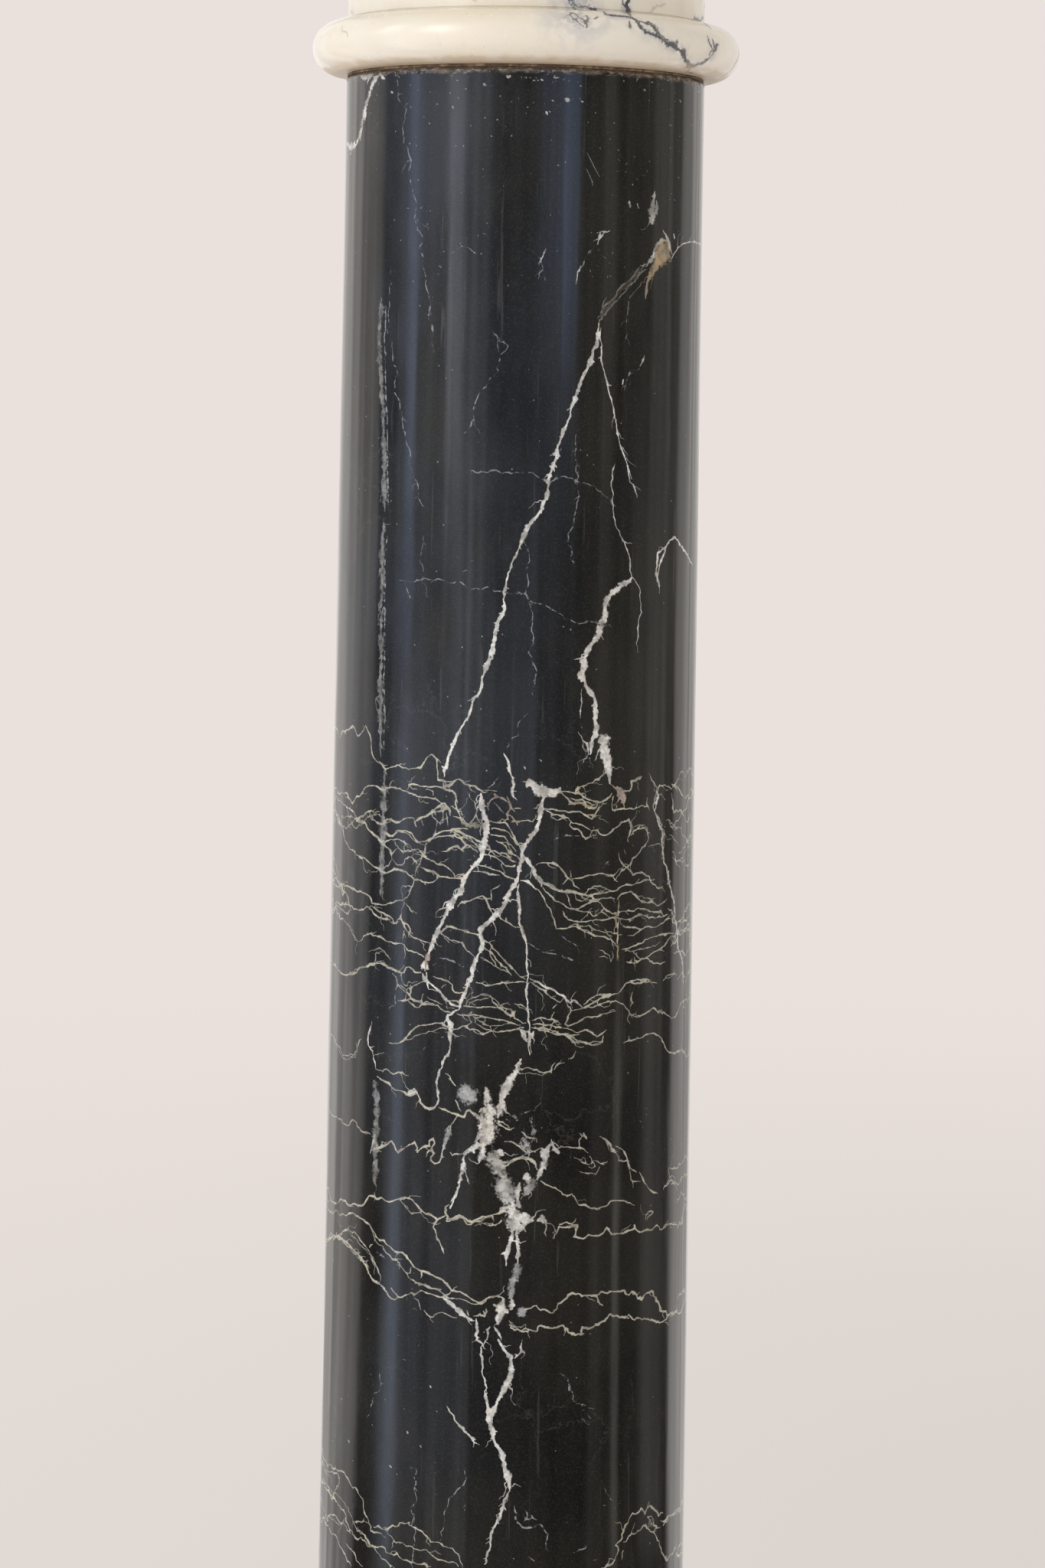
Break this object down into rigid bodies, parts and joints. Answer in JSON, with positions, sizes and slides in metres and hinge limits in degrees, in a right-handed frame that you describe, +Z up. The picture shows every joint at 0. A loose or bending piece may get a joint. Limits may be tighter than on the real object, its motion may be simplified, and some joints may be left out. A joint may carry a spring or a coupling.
{
  "type": "marble column",
  "caption": "Free-standing stone pedestal column: tapered veined black shaft with a pale turned capital and base, square plinth and top slab, clamped by an inner iron rod.",
  "frame": {"origin": "middle of the plinth's underside, on the floor", "axes": "+Z up along the column's axis; X and Y square to the sides of the plinth and abacus"},
  "size_m": [0.27, 0.27, 1.0358],
  "materials": {
    "black_marble": "polished, with white and cream calcite veins",
    "cream_marble": "polished, with sparse blue-grey dendritic veins",
    "mastic": "dull brown mastic",
    "iron": "dark, lightly rusted wrought iron"
  },
  "bodies": {
    "root": {"plinth": "cream_marble", "plinth_seam": "mastic", "base_moulding": "cream_marble", "base_seam": "mastic", "shaft": "black_marble", "collar_seam": "mastic", "capital": "cream_marble", "abacus_seam": "mastic", "abacus": "cream_marble", "tie_rod": "iron", "lower_nut": "iron", "lower_washer": "iron", "upper_nut": "iron", "upper_washer": "iron", "abacus_dowels": "iron"}
  },
  "joints": []
}
